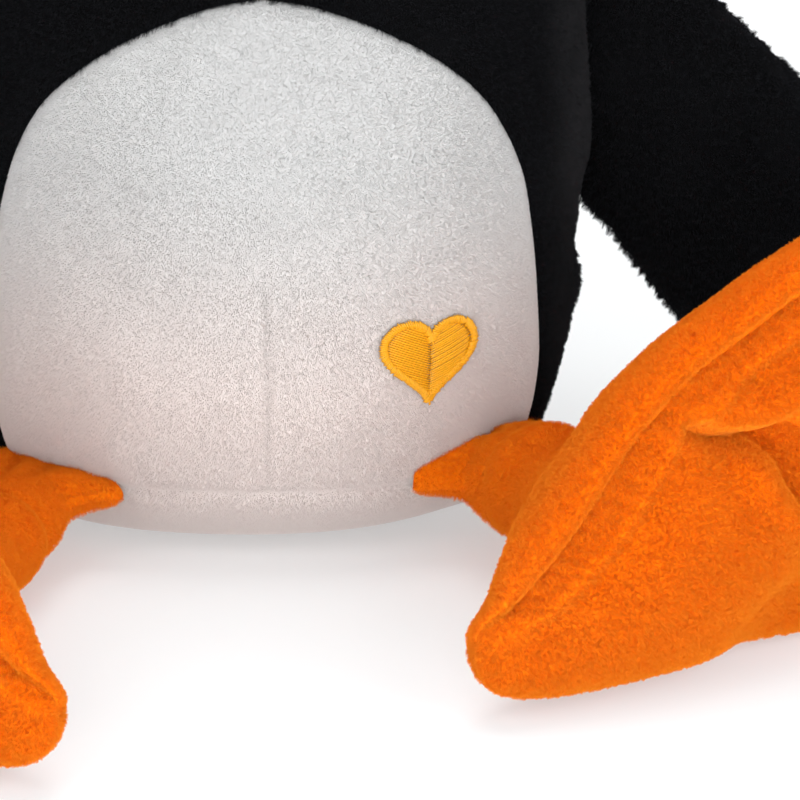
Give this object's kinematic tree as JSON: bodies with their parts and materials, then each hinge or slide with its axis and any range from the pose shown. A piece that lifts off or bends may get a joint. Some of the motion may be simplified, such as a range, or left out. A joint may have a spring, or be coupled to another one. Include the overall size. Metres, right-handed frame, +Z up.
{
  "type": "plush penguin",
  "caption": "Soft seated penguin toy with a round body, hanging wings, splayed legs and broad three-toed feet; the wings, legs, feet and head turn at their sewn seams.",
  "frame": {"origin": "on the ground, at the middle of the flat base the body sits on", "axes": "+Z up; the penguin faces -Y; +X is towards its own left wing"},
  "size_m": [0.3312, 0.2826, 0.2896],
  "materials": {
    "black_plush": "short dense pile, matt with a soft grey sheen",
    "white_plush": "short dense pile, warm off-white",
    "orange_plush": "short dense pile with a fine brushed tuft pattern",
    "polyester_fibre": "loose white fibre",
    "nonwoven": "thin bonded cloth",
    "pellets": "small translucent beads",
    "emblem_thread": "satin stitch thread, silky",
    "label_satin": "blank woven satin ribbon",
    "eye_plastic": "polished",
    "washer_plastic": "moulded"
  },
  "bodies": {
    "torso": {"belly_panel": "white_plush", "side_panel_left": "black_plush", "side_panel_right": "black_plush", "back_panel_left": "black_plush", "back_panel_right": "black_plush", "base_panel": "white_plush", "body_stuffing": "polyester_fibre", "pellet_pouch_upper": "nonwoven", "pellet_pouch_lower": "nonwoven", "pellet_fill": "pellets", "care_label": "label_satin", "belly_emblem": "emblem_thread"},
    "head": {"head_panel_left": "black_plush", "head_panel_right": "black_plush", "head_gusset": "black_plush", "head_stuffing": "polyester_fibre", "face_panel_left": "white_plush", "face_panel_right": "white_plush", "beak_upper": "orange_plush", "beak_lower": "orange_plush", "beak_stuffing": "polyester_fibre", "eye_left": "eye_plastic", "eye_right": "eye_plastic", "eye_washer_left": "washer_plastic", "eye_washer_right": "washer_plastic"},
    "wing_left": {"wing_left_front_panel": "black_plush", "wing_left_back_panel": "black_plush", "wing_left_stuffing": "polyester_fibre"},
    "wing_right": {"wing_right_front_panel": "black_plush", "wing_right_back_panel": "black_plush", "wing_right_stuffing": "polyester_fibre"},
    "leg_left": {"leg_left_cover": "orange_plush", "leg_left_stuffing": "polyester_fibre"},
    "leg_right": {"leg_right_cover": "orange_plush", "leg_right_stuffing": "polyester_fibre"},
    "foot_left": {"foot_left_sole_panel": "orange_plush", "foot_left_top_panel": "orange_plush", "foot_left_stuffing": "polyester_fibre"},
    "foot_right": {"foot_right_sole_panel": "orange_plush", "foot_right_top_panel": "orange_plush", "foot_right_stuffing": "polyester_fibre"}
  },
  "joints": [
    {"name": "head_turn", "type": "hinge", "parent": "torso", "child": "head", "pos_m": [0, 0, 0.178], "axis": [0, 0, 1], "range_deg": [-30, 30], "stiffness_Nm_per_rad": 0.05},
    {"name": "wing_left_swing", "type": "hinge", "parent": "torso", "child": "wing_left", "pos_m": [0.0825, 0.015, 0.115], "axis": [0.0571, 0, -0.9984], "range_deg": [-55, 60], "stiffness_Nm_per_rad": 0.01},
    {"name": "wing_right_swing", "type": "hinge", "parent": "torso", "child": "wing_right", "pos_m": [-0.0825, 0.015, 0.115], "axis": [0.0571, 0, 0.9984], "range_deg": [-55, 60], "stiffness_Nm_per_rad": 0.01},
    {"name": "leg_left_swing", "type": "hinge", "parent": "torso", "child": "leg_left", "pos_m": [0.0566, -0.0434, 0.0205], "axis": [-0.7141, -0.7001, 0], "range_deg": [-75, 24], "stiffness_Nm_per_rad": 0.03},
    {"name": "leg_right_swing", "type": "hinge", "parent": "torso", "child": "leg_right", "pos_m": [-0.0566, -0.0434, 0.0205], "axis": [-0.7141, 0.7001, 0], "range_deg": [-75, 24], "stiffness_Nm_per_rad": 0.03},
    {"name": "foot_left_flex", "type": "hinge", "parent": "leg_left", "child": "foot_left", "pos_m": [0.0832, -0.1108, 0.026], "axis": [0, 0, 1], "range_deg": [-25, 25], "stiffness_Nm_per_rad": 0.01},
    {"name": "foot_right_flex", "type": "hinge", "parent": "leg_right", "child": "foot_right", "pos_m": [-0.0832, -0.1498, 0.026], "axis": [0, 0, -1], "range_deg": [-25, 25], "stiffness_Nm_per_rad": 0.01}
  ]
}
